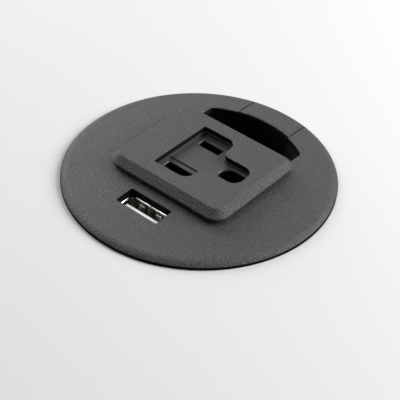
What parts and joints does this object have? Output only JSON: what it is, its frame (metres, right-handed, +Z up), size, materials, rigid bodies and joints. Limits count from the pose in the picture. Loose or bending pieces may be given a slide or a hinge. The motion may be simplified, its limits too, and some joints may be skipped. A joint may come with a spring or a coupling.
{
  "type": "in-desk power module",
  "caption": "Round desk grommet with an earthed outlet block, a USB port, a half-moon cable opening with a lift-out gate, and a barrel clamped by a ring nut.",
  "frame": {"origin": "centre of the cover's underside, where the barrel's axis meets the desk's surface", "axes": "+Z up out of the desk, +Y towards the cable opening, +X from the blade slots towards the ground hole"},
  "size_m": [0.071, 0.071, 0.0686],
  "materials": {
    "cover_plastic": "spark-eroded matte, fine grain",
    "block_plastic": "spark-eroded matte, fine grain",
    "face_plastic": "smooth matte",
    "carrier_plastic": "plain moulded",
    "contact_brass": "rolled strip",
    "shell_metal": "bright plated sheet",
    "tongue_plastic": "smooth",
    "plated_contact": "gold plated",
    "barrel_plastic": "moulded satin",
    "circuit_board": "solder mask",
    "fibre_sheet": "pressed fibre",
    "ferrite": "sintered, with taped winding",
    "capacitor_sleeve": "shrunk sleeve",
    "chip_plastic": "moulded epoxy",
    "line_insulation": "extruded",
    "neutral_insulation": "extruded",
    "gland_nylon": "moulded nylon",
    "seal_rubber": "soft matte",
    "screw_steel": "zinc plated",
    "washer_steel": "zinc plated",
    "nut_plastic": "moulded satin"
  },
  "bodies": {
    "root": {"top_cover": "cover_plastic", "outlet_bezel": "block_plastic", "outlet_face": "face_plastic", "contact_carrier": "carrier_plastic", "line_contact": "contact_brass", "neutral_contact": "contact_brass", "ground_contact": "contact_brass", "usb_shell": "shell_metal", "usb_tongue": "tongue_plastic", "usb_contacts": "plated_contact", "barrel": "barrel_plastic", "rear_housing": "barrel_plastic", "charger_board": "circuit_board", "insulator_sheet": "fibre_sheet", "transformer": "ferrite", "input_capacitor": "capacitor_sleeve", "output_capacitor": "capacitor_sleeve", "board_chips": "chip_plastic", "line_lead": "line_insulation", "neutral_lead": "neutral_insulation", "inlet_gland": "gland_nylon", "gland_locknut": "gland_nylon", "gland_seal": "seal_rubber", "gland_cap": "gland_nylon", "cover_screws": "screw_steel", "housing_screws": "screw_steel", "carrier_screws": "screw_steel", "sealing_ring": "seal_rubber"},
    "gate": {"cord_gate": "cover_plastic"},
    "washer": {"clamp_washer": "washer_steel"},
    "nut": {"ring_nut": "nut_plastic"}
  },
  "joints": [
    {"name": "gate_lift", "type": "slide", "parent": "root", "child": "gate", "axis": [0, 0, 1], "range_m": [0, 0.016]},
    {"name": "washer_travel", "type": "slide", "parent": "root", "child": "washer", "axis": [0, 0, 1], "range_m": [-0.0035, 0.013]},
    {"name": "nut_turn", "type": "hinge", "parent": "washer", "child": "nut", "pos_m": [0, 0, -0.0302], "axis": [0, 0, 1], "range_deg": [-306, 1152]}
  ],
  "couplings": [
    {"joint": "washer_travel", "follows": "nut_turn", "m_per_rad": 0.00063662}
  ]
}
